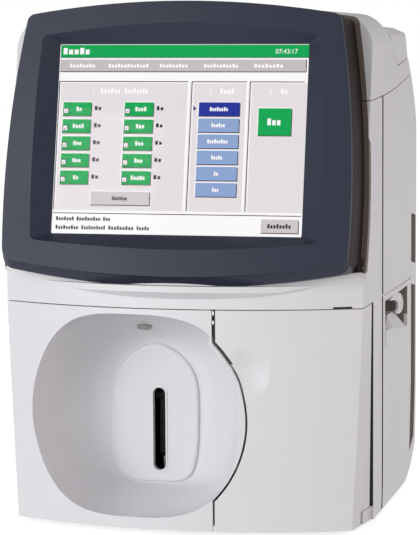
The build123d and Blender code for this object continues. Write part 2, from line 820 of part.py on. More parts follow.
with BuildPart() as door_shell:
    add(outer_body)
    add(door_inner, mode=Mode.SUBTRACT)
    box_between((0, -200, 0), (200, post_seam_y, door_top), mode=Mode.INTERSECT)
    extrude(door_outline(0), amount=200, mode=Mode.INTERSECT)
    with BuildPart(mode=Mode.PRIVATE) as hollow:
        add(inner_body)
        box_between((0, -200, 0), (200, post_seam_y - wall, 300), mode=Mode.INTERSECT)
        extrude(door_outline(wall), amount=200, mode=Mode.INTERSECT)
        add(finger_scoop(wall), mode=Mode.SUBTRACT)
    add(hollow.part, mode=Mode.SUBTRACT)
    with BuildPart(mode=Mode.PRIVATE) as barrels:
        for low, high in knuckles:
            rod((hinge_x, hinge_y, low), (0, 0, 1), 4, high - low)
        add(outer_body, mode=Mode.INTERSECT)
    add(barrels.part)
    add(scoop_space, mode=Mode.SUBTRACT)
    # clearance round the lower hinge lug
    box_between((138.5, -95, 0), (170, -60, knuckles[0][0] - 0.5), mode=Mode.SUBTRACT)
    rod((hinge_x, hinge_y, 0), (0, 0, 1), hinge_pin_radius + running_clearance, 200,
        mode=Mode.SUBTRACT)
save(door_shell.part, "door_shell")

latch_low = (55, -118, 165)
latch_high = (65, -131, 177)
with BuildPart() as door_liner:
    add(housing(door_thickness - 2.2, open_base=True))
    add(housing(door_thickness - 0.2, open_base=True), mode=Mode.SUBTRACT)
    box_between((0, -200, 0), (200, post_seam_y - wall - 0.2, 300), mode=Mode.INTERSECT)
    extrude(door_outline(wall + 0.3), amount=200, mode=Mode.INTERSECT)
    add(finger_scoop(wall + 0.3), mode=Mode.SUBTRACT)
    for low, high in knuckles:
        rod((hinge_x, hinge_y, low - 1), (0, 0, 1), 4.3, high - low + 2, mode=Mode.SUBTRACT)
    box_between((136, -106, 0), (170, -60, knuckles[0][0] + 1), mode=Mode.SUBTRACT)
liner_body = door_liner.part.solids().sort_by(SortBy.VOLUME)[-1]
save(Part(liner_body.wrapped), "door_liner")

with BuildPart() as latch_plate:
    box_between((latch_low[0], latch_high[1] - 1, latch_low[2]), (latch_high[0], latch_low[1],
                latch_high[2]))
    add(door_inner, mode=Mode.INTERSECT)
save(latch_plate.part, "latch_plate")

with BuildPart() as hinge_lugs:
    box_between((143, -90, body_bottom), (151, post_seam_y + hinge_gap, 15.6))
    box_between((139, post_seam_y + hinge_gap, 11.2), (146, -50, 16))
    box_between((140, -88, seam_height + 0.5), (149, -72, seam_height + 10))
    add(outer_body, mode=Mode.INTERSECT)
    rod((hinge_x, hinge_y, 0), (0, 0, 1), hinge_pin_radius, 220, mode=Mode.SUBTRACT)
save(hinge_lugs.part, "hinge_lugs")

with BuildPart() as hinge_pins:
    rod((hinge_x, hinge_y, 8), (0, 0, 1), hinge_pin_radius, 29)
    rod((hinge_x, hinge_y, 166), (0, 0, 1), hinge_pin_radius, 31)
save(hinge_pins.part, "hinge_pins")

# ---------------------------------------------------------------- cartridge chamber
inside_low = [value + chamber_wall for value in chamber_low]
inside_high = [value - chamber_wall for value in chamber_high]
with BuildPart() as bay_liner:
    box_between(chamber_low, chamber_high)
    box_between((52, chamber_low[1], 20), (chamber_high[0], chamber_low[1] + chamber_wall, 180))
    box_between((inside_low[0], -110, inside_low[2]), inside_high, mode=Mode.SUBTRACT)
    rod((chamber_low[0] - 5, pump_y, pump_z), (1, 0, 0), pump_radius + 1.5, 10,
        mode=Mode.SUBTRACT)
save(bay_liner.part, "bay_liner")

with BuildPart() as latch_magnet:
    box_between((54, latch_low[1] + 0.3, 164), (66, chamber_low[1], 178))
save(latch_magnet.part, "latch_magnet")

cartridge_low = (67.0, -94.0, 17.0)
cartridge_high = (131.0, 60.0, 176.0)
cartridge_middle_x = (cartridge_low[0] + cartridge_high[0]) / 2
with BuildPart() as cartridge:
    box_between(cartridge_low, cartridge_high)
    fillet(cartridge.edges().filter_by(Axis.Y), 4)
    chamfer(cartridge.faces().sort_by(Axis.Y)[0].edges(), 1.2)
    # channel that lets the seated cartridge slide over the pump head
    box_between((60, pump_y, pump_z - pump_radius - 3), (84, 70, pump_z + pump_radius + 3),
                mode=Mode.SUBTRACT)
    rod((60, pump_y, pump_z), (1, 0, 0), pump_radius + 3, 24, mode=Mode.SUBTRACT)
    # finger recess behind a grip bar
    with BuildSketch(Plane.XZ.offset(-cartridge_low[1] + 1)) as recess:
        with Locations((cartridge_middle_x, 128)):
            RectangleRounded(40, 56, 8)
    extrude(recess.sketch, amount=-23, mode=Mode.SUBTRACT)
    box_between((cartridge_middle_x - 7, cartridge_low[1] + 2, 96),
                (cartridge_middle_x + 7, cartridge_low[1] + 9, 160))
save(cartridge.part, "cartridge")

with BuildPart() as cartridge_front_plate:
    with BuildSketch(Plane.XZ.offset(-cartridge_low[1])) as panel:
        with Locations((cartridge_middle_x, 50)):
            RectangleRounded(46, 44, 3)
    extrude(panel.sketch, amount=0.6)
save(cartridge_front_plate.part, "cartridge_front_plate")

# ---------------------------------------------------------------- pump
with BuildPart() as pump_rotor:
    for disc_x in (67.2, 79.5):
        rod((disc_x, pump_y, pump_z), (1, 0, 0), pump_disc_radius, 2.4)
    rod((56.5, pump_y, pump_z), (1, 0, 0), 3, 25.4)
    rod((69, pump_y, pump_z), (1, 0, 0), 7, 11)
save(pump_rotor.part, "pump_rotor")

with BuildPart() as pump_rollers:
    with BuildSketch(Plane.YZ.offset(69.6)) as rollers:
        with Locations((pump_y, pump_z)):
            with PolarLocations(pump_radius - 8.5, 6):
                Circle(pump_roller_radius)
    extrude(rollers.sketch, amount=9.9)
save(pump_rollers.part, "pump_rollers")

with BuildPart() as pump_motor:
    rod((14, pump_y, pump_z), (1, 0, 0), 18, 42)
    rod((10, pump_y, pump_z), (1, 0, 0), 5, 5)
save(pump_motor.part, "pump_motor")

# ---------------------------------------------------------------- chassis
with BuildPart() as chassis:
    box_between((-130, -45, 11.2), (130, 84, 13.2))
    box_between((56, -40, 13.2), (58, 84, 186))
    box_between((-132, -90, 186), (132, 120, 188))
    rod((50, pump_y, pump_z), (1, 0, 0), 3.6, 12, mode=Mode.SUBTRACT)
    for corner_x, corner_y in ((-128, -30), (-128, 76), (124, 76)):
        box_between((corner_x - 2, corner_y - 8, 13.2), (corner_x + 2, corner_y + 8, 186))
save(chassis.part, "chassis")

with BuildPart() as base_tray:
    add(housing(wall + 0.3))
    add(housing(2 * wall + 0.3), mode=Mode.SUBTRACT)
    box_between((-200, -200, 0), (200, 84, 11.1), mode=Mode.INTERSECT)
    box_between((30, -200, 0), (200, -66, 30), mode=Mode.SUBTRACT)
    with BuildPart(mode=Mode.PRIVATE) as door_floor:
        add(housing(9.5, open_base=True))
        box_between((29, -200, body_bottom + wall + 0.3), (136, -65, 10.9), mode=Mode.INTERSECT)
    add(door_floor.part)
save(base_tray.part, "base_tray")

foot_places = [(-115, -85), (115, -85), (-115, 70), (115, 70)]
with BuildPart() as feet:
    for x, y in foot_places:
        rod((x, y, 0), (0, 0, 1), 10, body_bottom + wall + 0.3)
    chamfer(feet.faces().filter_by(Axis.Z).group_by(Axis.Z)[0].edges(), 1)
save(feet.part, "feet")

with BuildPart() as power_supply:
    box_between((-122, -20, 13.2), (-60, 84, 75))
    with BuildSketch(Plane.XY.offset(76)) as grille:
        with Locations((-91, 32)):
            with GridLocations(7, 0, 7, 1):
                Rectangle(3, 76)
    extrude(grille.sketch, amount=-4, mode=Mode.SUBTRACT)
save(power_supply.part, "power_supply")

board_low = (-118, -38, 196)
board_high = (58, 108, 197.6)
post_places = [(x, y) for x in (-112, 52) for y in (-32, 102)]
with BuildPart() as board_posts:
    for x, y in post_places:
        rod((x, y, 188), (0, 0, 1), 3.5, 8)
save(board_posts.part, "board_posts")

with BuildPart() as main_board:
    box_between(board_low, board_high)
    for x, y, width, depth, height in (
        (-60, 30, 45, 45, 6), (10, 30, 30, 30, 3), (-60, 85, 60, 14, 9), (20, 88, 50, 12, 12),
        (-90, -15, 30, 20, 5), (0, -15, 40, 10, 8),
    ):
        box_between((x - width / 2, y - depth / 2, board_high[2]),
                    (x + width / 2, y + depth / 2, board_high[2] + height))
save(main_board.part, "main_board")

# ---------------------------------------------------------------- sampler
arm_left = slot_x - sampler_arm_width / 2
arm_tip_z = sampler_pivot_z - sampler_arm_length
with BuildPart() as sampler_housing:
    box_between((-46, -48.8, 30), (-25, 20, 120))
    box_between((-43.5, -60, 32.5), (-27.5, 17.5, 117.5), mode=Mode.SUBTRACT)
    rod((-60, sampler_pivot_y, sampler_pivot_z), (1, 0, 0),
        sampler_shaft_radius + running_clearance, 50, mode=Mode.SUBTRACT)
save(sampler_housing.part, "sampler_housing")

with BuildPart() as sampler_arm:
    with BuildSketch(Plane.YZ.offset(arm_left)) as arm:
        with Locations((sampler_pivot_y, sampler_pivot_z - sampler_arm_length / 2)):
            SlotCenterToCenter(sampler_arm_length, 9, rotation=90)
    extrude(arm.sketch, amount=sampler_arm_width)
    fillet(sampler_arm.edges().filter_by(GeomType.LINE).filter_by(Axis.Z), 1)
    rod((-42.5, sampler_pivot_y, sampler_pivot_z), (1, 0, 0), 6, 14)
    rod((-48, sampler_pivot_y, sampler_pivot_z), (1, 0, 0), sampler_shaft_radius, 26)
save(sampler_arm.part, "sampler_arm")

with BuildPart() as sampler_probe:
    rod((slot_x, sampler_pivot_y, arm_tip_z - 14), (0, 0, 1), 0.9, 9.5)
save(sampler_probe.part, "sampler_probe")

with BuildPart() as sampler_motor:
    rod((-21.5, sampler_pivot_y, sampler_pivot_z), (1, 0, 0), 10, 4)
    rod((-17.5, -29, sampler_pivot_z), (1, 0, 0), 14, 24)
save(sampler_motor.part, "sampler_motor")

with BuildPart() as slot_rim:
    with BuildSketch(Plane.XZ.offset(-bay_floor_y)) as ring:
        with Locations((slot_x, slot_z)):
            SlotOverall(slot_length + 3, slot_width + 3, rotation=90)
            SlotOverall(slot_length, slot_width, rotation=90, mode=Mode.SUBTRACT)
    extrude(ring.sketch, amount=0.8)
save(slot_rim.part, "slot_rim")

# ---------------------------------------------------------------- printer
with BuildPart() as printer_frame:
    box_between((66, -2, 348), (147, 96, 379))
    box_between((68, 0, 350), (145, 94, 385), mode=Mode.SUBTRACT)
    # cheeks that carry the roll's spindle and the platen
    for cheek_y in (23.5, 86):
        box_between((roll_x - 6, cheek_y, 349), (roll_x + 6, cheek_y + 2.5, 382))
        box_between((124, cheek_y, 349), (146.5, cheek_y + 2.5, 399))
    rod((roll_x, 10, roll_z), (0, 1, 0), spindle_radius, 90, mode=Mode.SUBTRACT)
    rod((platen_x, 10, platen_z), (0, 1, 0), platen_journal + running_clearance, 90,
        mode=Mode.SUBTRACT)
save(printer_frame.part, "printer_frame")

with BuildPart() as roll_spindle:
    rod((roll_x, 22, roll_z), (0, 1, 0), spindle_radius, 68)
save(roll_spindle.part, "roll_spindle")

with BuildPart() as paper_roll:
    rod((roll_x, roll_y - roll_width / 2, roll_z), (0, 1, 0), roll_radius, roll_width)
    rod((roll_x, 0, roll_z), (0, 1, 0), spindle_radius + 0.1, 120, mode=Mode.SUBTRACT)
save(paper_roll.part, "paper_roll")

with BuildPart() as platen_roller:
    rod((platen_x, 27, platen_z), (0, 1, 0), platen_radius, 58)
    rod((platen_x, 22, platen_z), (0, 1, 0), platen_journal, 68)
save(platen_roller.part, "platen_roller")

with BuildPart() as thermal_head:
    box_between((126, 26.2, 386), (136, 85.8, 397))
save(thermal_head.part, "thermal_head")

# ---------------------------------------------------------------- rear equipment
with BuildPart() as fan_frame:
    with Locations((fan_x, rear_y - wall - fan_depth / 2, fan_z)):
        Box(fan_size, fan_depth, fan_size)
    rod((fan_x, 100, fan_z), (0, 1, 0), fan_bore, 80, mode=Mode.SUBTRACT)
    for bar in (0, 120, 240):
        with BuildPart(mode=Mode.PRIVATE) as strut:
            with Locations(Location((fan_x, 129, fan_z), (0, bar, 0))):
                with Locations((20, 0, 0)):
                    Box(40, 3, 4)
        add(strut.part)
    rod((fan_x, 127.5, fan_z), (0, 1, 0), fan_hub_radius, 3)
    fillet(fan_frame.edges().filter_by(Axis.Y).group_by(SortBy.LENGTH)[-1], 3)
save(fan_frame.part, "fan_frame")

with BuildPart() as fan_rotor:
    rod((fan_x, 131.5, fan_z), (0, 1, 0), fan_hub_radius, 18)
    for blade in range(fan_blades):
        with BuildPart(mode=Mode.PRIVATE) as blade_body:
            with Locations(Location((fan_x, 140.5, fan_z), (0, blade * 360 / fan_blades, 0))):
                with Locations(Location((26, 0, 0), (35, 0, 0))):
                    Box(20, 1.6, 20)
        add(blade_body.part)
    with BuildPart(mode=Mode.PRIVATE) as sweep_limit:
        rod((fan_x, 131.5, fan_z), (0, 1, 0), fan_bore - 1, 18)
    add(sweep_limit.part, mode=Mode.INTERSECT)
save(fan_rotor.part, "fan_rotor")

with BuildPart() as fan_guard:
    for ring_radius in (10, 19, 28, 37):
        with BuildSketch(Plane.XZ.offset(-rear_y + 0.4)) as ring:
            with Locations((fan_x, fan_z)):
                Circle(ring_radius + 0.9)
                Circle(ring_radius - 0.9, mode=Mode.SUBTRACT)
        extrude(ring.sketch, amount=1.6)
    for bar in (45, 135):
        with BuildPart(mode=Mode.PRIVATE) as wire:
            with Locations(Location((fan_x, rear_y - 1.8, fan_z), (0, bar, 0))):
                Box(2 * fan_bore - 0.6, 1.2, 1.8)
        add(wire.part)
save(fan_guard.part, "fan_guard")

with BuildPart() as power_inlet:
    box_between((inlet_x - 14, 126, inlet_z - 10.2), (inlet_x + 14, rear_y - 0.2, inlet_z + 10.2))
    box_between((inlet_x - 17, 148, inlet_z - 13), (inlet_x + 17, rear_y - wall, inlet_z + 13))
    box_between((inlet_x - 12, 138, inlet_z - 8), (inlet_x + 12, 170, inlet_z + 8),
                mode=Mode.SUBTRACT)
    for pin_x, pin_z in ((-7, -2), (0, 2), (7, -2)):
        box_between((inlet_x + pin_x - 1, 137, inlet_z + pin_z - 2),
                    (inlet_x + pin_x + 1, 152, inlet_z + pin_z + 2))
save(power_inlet.part, "power_inlet")

switch_z = inlet_z + 31
with BuildPart() as switch_frame:
    box_between((inlet_x - 9, 136, switch_z - 12.8), (inlet_x + 9, rear_y - 0.2, switch_z + 12.8))
    box_between((inlet_x - 7.4, 138, switch_z - 10.6), (inlet_x + 7.4, 170, switch_z + 10.6),
                mode=Mode.SUBTRACT)
save(switch_frame.part, "switch_frame")

with BuildPart() as switch_rocker:
    with BuildSketch(Plane.YZ.offset(inlet_x - 7)) as rocker:
        with BuildLine():
            Polyline(
                (141, switch_z - 7), (153, switch_z - 9.2), (151.8, switch_z),
                (153, switch_z + 9.2), (141, switch_z + 7), close=True,
            )
        make_face()
    extrude(rocker.sketch, amount=14)
save(switch_rocker.part, "switch_rocker")

with BuildPart() as data_ports:
    box_between((45.2, 138, port_middle_z - 8), (115, rear_y - 0.2, port_middle_z + 8))
    # two network sockets and two flat data sockets
    for port_x, width, height in ((56, 15, 12), (74, 15, 12), (91, 13, 6), (107, 13, 6)):
        box_between((port_x - width / 2, 142, port_middle_z - height / 2),
                    (port_x + width / 2, 170, port_middle_z + height / 2), mode=Mode.SUBTRACT)
save(data_ports.part, "data_ports")

# ---------------------------------------------------------------- wand hook
with BuildPart() as wand_hook:
    add(side_pocket(*hook_ramp, 0))
    with BuildSketch(Plane.YZ.offset(148)) as strap:
        with BuildLine():
            upper = Line((-13, 181.4), (46, 183))
            turn = ThreePointArc(upper @ 1, (78.5, 172.6), (46.5, 162.2))
            foot = Polyline(turn @ 1, (24, 155.2), (24, 159), (49, 166))
            inside = ThreePointArc(foot @ 1, (74.4, 172.6), (46, 179.6))
            Polyline(inside @ 1, (-13, 178), upper @ 0)
        make_face()
    extrude(strap.sketch, amount=5)
    add(side_pocket(*hook_pocket, -0.2), mode=Mode.INTERSECT)
    add(housing(0.3), mode=Mode.INTERSECT)
    # pad that seats the hook against the liner
    box_between((139, 0, 158), (140, 80, 161))
save(wand_hook.part, "wand_hook")
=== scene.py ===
import json
from math import cos, radians, sin, sqrt

import bmesh
import bpy
from mathutils import Matrix, Vector


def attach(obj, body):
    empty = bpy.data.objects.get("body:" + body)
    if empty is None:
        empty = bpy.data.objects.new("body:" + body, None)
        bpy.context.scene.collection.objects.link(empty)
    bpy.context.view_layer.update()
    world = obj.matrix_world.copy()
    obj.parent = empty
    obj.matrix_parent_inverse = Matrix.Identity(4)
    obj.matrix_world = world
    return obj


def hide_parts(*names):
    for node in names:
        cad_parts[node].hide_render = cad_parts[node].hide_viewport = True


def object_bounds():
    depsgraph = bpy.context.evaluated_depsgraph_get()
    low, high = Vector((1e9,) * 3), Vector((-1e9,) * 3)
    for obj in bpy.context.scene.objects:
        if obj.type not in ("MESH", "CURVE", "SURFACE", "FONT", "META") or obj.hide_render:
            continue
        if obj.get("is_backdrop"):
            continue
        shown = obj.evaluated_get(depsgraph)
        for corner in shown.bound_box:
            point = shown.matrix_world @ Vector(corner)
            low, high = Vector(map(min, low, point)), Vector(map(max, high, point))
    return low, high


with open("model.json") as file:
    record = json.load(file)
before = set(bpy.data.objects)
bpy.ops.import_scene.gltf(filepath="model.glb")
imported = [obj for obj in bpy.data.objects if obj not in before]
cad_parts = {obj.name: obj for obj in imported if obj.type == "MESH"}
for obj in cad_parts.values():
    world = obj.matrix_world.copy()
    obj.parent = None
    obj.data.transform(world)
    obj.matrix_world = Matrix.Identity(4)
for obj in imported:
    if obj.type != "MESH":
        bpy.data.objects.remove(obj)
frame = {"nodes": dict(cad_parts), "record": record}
cad_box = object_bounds()
nodes = frame["nodes"]

MILLIMETRE = 0.001

# ---------------------------------------------------------------- camera
IMAGE_HEIGHT = 535
FOCAL_PIXELS = 2500
SENSOR = 24.0
YAW, PITCH, ROLL = radians(13.64), radians(6.22), radians(-0.35)
CAMERA_PLACE = Vector((0.5084, -2.1081, 0.4438))


def make_camera():
    """The photograph's viewpoint: far off, to the right of the front and a little above."""
    level_right = Vector((cos(YAW), sin(YAW), 0))
    ahead = Vector((-sin(YAW) * cos(PITCH), cos(YAW) * cos(PITCH), -sin(PITCH)))
    level_up = level_right.cross(ahead)
    right = cos(ROLL) * level_right + sin(ROLL) * level_up
    up = -sin(ROLL) * level_right + cos(ROLL) * level_up
    data = bpy.data.cameras.new("camera")
    data.sensor_fit = "VERTICAL"
    data.sensor_height = SENSOR
    data.lens = SENSOR * FOCAL_PIXELS / IMAGE_HEIGHT
    data.clip_end = 50
    camera = bpy.data.objects.new("camera", data)
    bpy.context.scene.collection.objects.link(camera)
    turn = Matrix((right, up, -ahead)).transposed().to_4x4()
    camera.matrix_world = Matrix.Translation(CAMERA_PLACE) @ turn
    bpy.context.scene.camera = camera


make_camera()

# ---------------------------------------------------------------- materials


def srgb(r, g, b):
    """A colour written as 0-255 display values, as linear light."""
    def linear(v):
        v /= 255
        return v / 12.92 if v <= 0.04045 else ((v + 0.055) / 1.055) ** 2.4
    return (linear(r), linear(g), linear(b), 1.0)


def linked(tree, kind, sources=(), **settings):
    """A new node with its sockets linked, in order, to outputs or set to plain values."""
    node = tree.nodes.new(kind)
    for setting, value in settings.items():
        setattr(node, setting, value)
    for socket, source in zip(node.inputs, sources):
        if isinstance(source, (int, float, tuple)):
            socket.default_value = source
        elif source is not None:
            tree.links.new(source, socket)
    return node


def blend_colors(tree, factor, first, second):
    """A colour between two, by a factor."""
    mix = tree.nodes.new("ShaderNodeMix")
    mix.data_type = "RGBA"
    tree.links.new(factor, mix.inputs["Factor"])
    for name, source in (("A", first), ("B", second)):
        if isinstance(source, tuple):
            mix.inputs[name].default_value = source
        else:
            tree.links.new(source, mix.inputs[name])
    return mix.outputs["Result"]


COAT_ROUGHNESS = 0.15
GRAIN_DETAIL = 3
SLOW_SCALE, SLOW_DETAIL = 14, 4         # noise behind the slow changes of a finish
GRAIN_DEPTH = 0.0004


def surface(name, color, rough=0.5, grain=900.0, bump=0.03, vary=0.06, metal=0.0, coat=0.0,
            tint=0.03, gloss=0.5):
    """A procedural finish: fine grain as bump, with slow changes of roughness and colour."""
    material = bpy.data.materials.new(name)
    material.use_nodes = True
    tree = material.node_tree
    shader = tree.nodes["Principled BSDF"]
    shader.inputs["Metallic"].default_value = metal
    shader.inputs["Specular IOR Level"].default_value = gloss
    shader.inputs["Coat Weight"].default_value = coat
    shader.inputs["Coat Roughness"].default_value = COAT_ROUGHNESS
    place = tree.nodes.new("ShaderNodeTexCoord")
    fine = tree.nodes.new("ShaderNodeTexNoise")
    fine.inputs["Scale"].default_value = grain
    fine.inputs["Detail"].default_value = GRAIN_DETAIL
    tree.links.new(place.outputs["Object"], fine.inputs["Vector"])
    slow = tree.nodes.new("ShaderNodeTexNoise")
    slow.inputs["Scale"].default_value = SLOW_SCALE
    slow.inputs["Detail"].default_value = SLOW_DETAIL
    tree.links.new(place.outputs["Object"], slow.inputs["Vector"])
    relief = tree.nodes.new("ShaderNodeBump")
    relief.inputs["Strength"].default_value = bump
    relief.inputs["Distance"].default_value = GRAIN_DEPTH
    tree.links.new(fine.outputs["Fac"], relief.inputs["Height"])
    tree.links.new(relief.outputs["Normal"], shader.inputs["Normal"])
    spread = tree.nodes.new("ShaderNodeMapRange")
    spread.inputs["To Min"].default_value = max(0.02, rough - vary)
    spread.inputs["To Max"].default_value = rough + vary
    tree.links.new(slow.outputs["Fac"], spread.inputs["Value"])
    tree.links.new(spread.outputs["Result"], shader.inputs["Roughness"])
    dusk = tuple(c * (1 - tint) for c in color[:3]) + (1,)
    shade = blend_colors(tree, slow.outputs["Fac"], color, dusk)
    tree.links.new(shade, shader.inputs["Base Color"])
    return material


def glowing(name, color, strength=1.0):
    """A part of the lit display."""
    material = surface(name, (0.01, 0.01, 0.012, 1), rough=0.5, bump=0.01, gloss=0.0)
    shader = material.node_tree.nodes["Principled BSDF"]
    shader.inputs["Emission Color"].default_value = color
    shader.inputs["Emission Strength"].default_value = strength
    return material


GLASS_IOR = 1.12                # low, so that the display behind the glass stays in place


def glass(name):
    """Clear glass over the display."""
    material = surface(name, (1, 1, 1, 1), rough=0.03, bump=0.0, vary=0.01, tint=0.0)
    shader = material.node_tree.nodes["Principled BSDF"]
    shader.inputs["Transmission Weight"].default_value = 1
    shader.inputs["IOR"].default_value = GLASS_IOR
    return material


def point_parts(tree):
    """The point's own X, Y and Z on the object."""
    place = tree.nodes.new("ShaderNodeTexCoord")
    split = tree.nodes.new("ShaderNodeSeparateXYZ")
    tree.links.new(place.outputs["Object"], split.inputs[0])
    return split.outputs


def calculate(tree, operation, first, second=0.0):
    """A sum or comparison of two values."""
    return linked(tree, "ShaderNodeMath", (first, second), operation=operation).outputs[0]


FRONT_APEX, FRONT_EDGE, FRONT_HALF = 0.1456, 0.1117, 0.1522     # bowed front, in metres
DISH_START, DISH_FULL = 0.004, 0.014    # depths behind it between which the gloss sets in
DISH_ROUGHNESS = 0.2


def glossy_dish(material, rough):
    """Polishes the moulded dish: the surface gets smoother behind the bowed front."""
    tree = material.node_tree
    shader = tree.nodes["Principled BSDF"]
    x, y = point_parts(tree)[:2]
    bow = calculate(tree, "MULTIPLY", calculate(tree, "MULTIPLY", x, x),
                    (FRONT_EDGE - FRONT_APEX) / FRONT_HALF**2)
    depth = calculate(tree, "ADD", calculate(tree, "ADD", y, bow), FRONT_APEX)
    inside = linked(tree, "ShaderNodeMapRange", (depth, DISH_START, DISH_FULL, 0.0, 1.0)).outputs[0]
    plain = shader.inputs["Roughness"].links[0].from_socket
    change = calculate(tree, "MULTIPLY", inside, calculate(tree, "SUBTRACT", rough, plain))
    tree.links.new(calculate(tree, "ADD", plain, change), shader.inputs["Roughness"])
    return material


def in_box(tree, low, high):
    """1 inside a box of the object's own space, 0 outside; None leaves a side open."""
    inside = 1.0
    for value, least, most in zip(point_parts(tree), low, high):
        if least is not None:
            inside = calculate(tree, "MULTIPLY", inside,
                               calculate(tree, "GREATER_THAN", value, least))
        if most is not None:
            inside = calculate(tree, "MULTIPLY", inside,
                               calculate(tree, "LESS_THAN", value, most))
    return inside


WALL_LEAN = 0.5                 # a wall's normal turns less than this towards its axis


def along(tree, axis):
    """1 on faces that run along an axis, such as the walls of a slot cut that way, else 0."""
    place = tree.nodes.new("ShaderNodeTexCoord")
    split = tree.nodes.new("ShaderNodeSeparateXYZ")
    tree.links.new(place.outputs["Normal"], split.inputs[0])
    lean = calculate(tree, "ABSOLUTE", split.outputs[axis])
    return calculate(tree, "LESS_THAN", lean, WALL_LEAN)


def darken(material, where, color):
    """Gives a material another colour where a value made by a function of its tree is 1."""
    tree = material.node_tree
    shader = tree.nodes["Principled BSDF"]
    plain = shader.inputs["Base Color"].links[0].from_socket
    shade = blend_colors(tree, where(tree), plain, color)
    tree.links.new(shade, shader.inputs["Base Color"])
    return material


def dark_places(material, places, color, axis=None):
    """Darkens cut edges inside the given boxes, if an axis is given only the walls along it."""
    for low, high in places:
        def where(tree, low=low, high=high):
            inside = in_box(tree, low, high)
            return inside if axis is None else calculate(tree, "MULTIPLY", inside, along(tree, axis))
        darken(material, where, color)
    return material


def between(tree, value, low, high):
    """1 where a value lies between two others, else 0."""
    return calculate(tree, "MULTIPLY", calculate(tree, "GREATER_THAN", value, low),
                     calculate(tree, "LESS_THAN", value, high))


DOOR_ARC = (-0.0325, 0.096, 0.094)      # centre x, z and radius of the seam round the sample bay
DOOR_EDGE = 0.0345              # x of the seam above and below the arc
ARC_ENDS = (0.0301, 0.1619)     # heights between which the seam is round
SEAM_GAP = 0.0018               # width of the seam between the door and the sample panel
# the door's edge within this width gets painted shade above the scoop
DOOR_SHADE = 0.0013             # width of the door's edge that is dark above the scoop
SCOOP_OPEN = (0.122, 0.144)     # heights between which the finger scoop bares the seam


def beside_door_seam(tree, width, on_door):
    """1 within a width of the door's seam, on the door's side or on the sample panel's."""
    x, _, z = point_parts(tree)
    center_x, center_z, radius = DOOR_ARC
    across = calculate(tree, "SUBTRACT", x, center_x)
    up = calculate(tree, "SUBTRACT", z, center_z)
    square = calculate(tree, "ADD", calculate(tree, "MULTIPLY", across, across),
                       calculate(tree, "MULTIPLY", up, up))
    reach = calculate(tree, "SQRT", square)
    test, shift = ("LESS_THAN", width) if on_door else ("GREATER_THAN", -width)
    on_arc = calculate(tree, test, reach, radius + shift)
    on_line = calculate(tree, test, x, DOOR_EDGE + shift)
    round_part = between(tree, z, *ARC_ENDS)
    straight_part = calculate(tree, "SUBTRACT", 1.0, round_part)
    return calculate(tree, "ADD", calculate(tree, "MULTIPLY", round_part, on_arc),
                     calculate(tree, "MULTIPLY", straight_part, on_line))


def dark_panel_edge(material, color):
    """Paints shade on the sample panel where it reaches into the seam, except at the finger scoop.
    """
    def where(tree):
        x, _, z = point_parts(tree)
        right = calculate(tree, "GREATER_THAN", x, DOOR_EDGE - 2 * SEAM_GAP)
        clear = calculate(tree, "SUBTRACT", 1.0, between(tree, z, *SCOOP_OPEN))
        edge = beside_door_seam(tree, SEAM_GAP, False)
        return calculate(tree, "MULTIPLY", calculate(tree, "MULTIPLY", edge, right), clear)
    return darken(material, where, color)


def dark_door_edge(material, color):
    """Paints shade on the door's rounded edge above the finger scoop, as the seam's shadow line."""
    def where(tree):
        above = calculate(tree, "GREATER_THAN", point_parts(tree)[2], SCOOP_OPEN[1])
        return calculate(tree, "MULTIPLY", above, beside_door_seam(tree, DOOR_SHADE, True))
    return darken(material, where, color)


def white_finish(name, rough=0.42, gloss=0.4):
    """The housing's white, as a finish of its own where a piece needs one."""
    return surface(name, WHITE, rough=rough, gloss=gloss)


# places in metres where a material gets painted shade: boxes run from a low to a high corner
# the side seams and the frame's edge behind the door get painted shade
SIDE_SEAM = ((None, -0.0286, None), (None, -0.0234, None))      # both sides of the side seams
DOOR_SEAM = ((0.14, -0.0676, 0.016), (None, -0.0674, 0.189))    # frame's edge behind the door
# the walls of these recesses in the right side panel get painted shade
STRIPS = (((0.14, 0.1165, 0.02), (0.1552, 0.1435, 0.26)),       # the vertical recesses
          ((0.14, -0.0152, 0.1585), (0.1555, 0.0962, 0.185)))   # and the hook's recess
TRIM_FOOT = 0.2176              # below this height the trim's ends are white, like the frame
WHITE = srgb(226, 224, 227)
TRIM_BROWN = srgb(112, 99, 91)
# painted shade for the seams' gaps and the edges beside them
SEAM_SHADE = srgb(44, 38, 36)
# the recess liners' own brown-grey, also painted as shade on the walls of the recesses cut in the
# right side panel
LINER_BROWN_AND_RECESS_SHADE = srgb(124, 113, 107)
finishes = {
    "warm_white": white_finish("housing_white"),
    "slate": surface("bezel_slate", srgb(44, 48, 64), rough=0.42, gloss=0.25),
    "brown_grey": surface("trim_brown_grey", TRIM_BROWN, rough=0.5, gloss=0.2),
    "black_plastic": surface("black_plastic", srgb(24, 24, 26), rough=0.5, bump=0.08),
    "grey_plastic": surface("grey_plastic", srgb(170, 170, 172), rough=0.5),
    "clear_glass": glass("touch_glass_clear"),
    "screen_face": glowing("display_ground", srgb(226, 222, 224)),
    "board_green": surface("circuit_board", srgb(22, 92, 48), rough=0.35, coat=0.3, tint=0.3),
    "steel": surface("steel", srgb(190, 190, 192), rough=0.3, metal=1.0, grain=1500),
    "plated": surface("plated_sheet", srgb(176, 176, 172), rough=0.42, metal=0.9, tint=0.12),
    "rubber_black": surface("rubber", srgb(30, 30, 30), rough=0.8, bump=0.15),
    "paper": surface("paper", srgb(240, 238, 232), rough=0.9, bump=0.1),
    "cartridge_blue": surface("cartridge_blue", srgb(88, 120, 168), rough=0.4),
    "lens": surface("lens_grey", srgb(146, 150, 144), rough=0.2, coat=0.4),
}
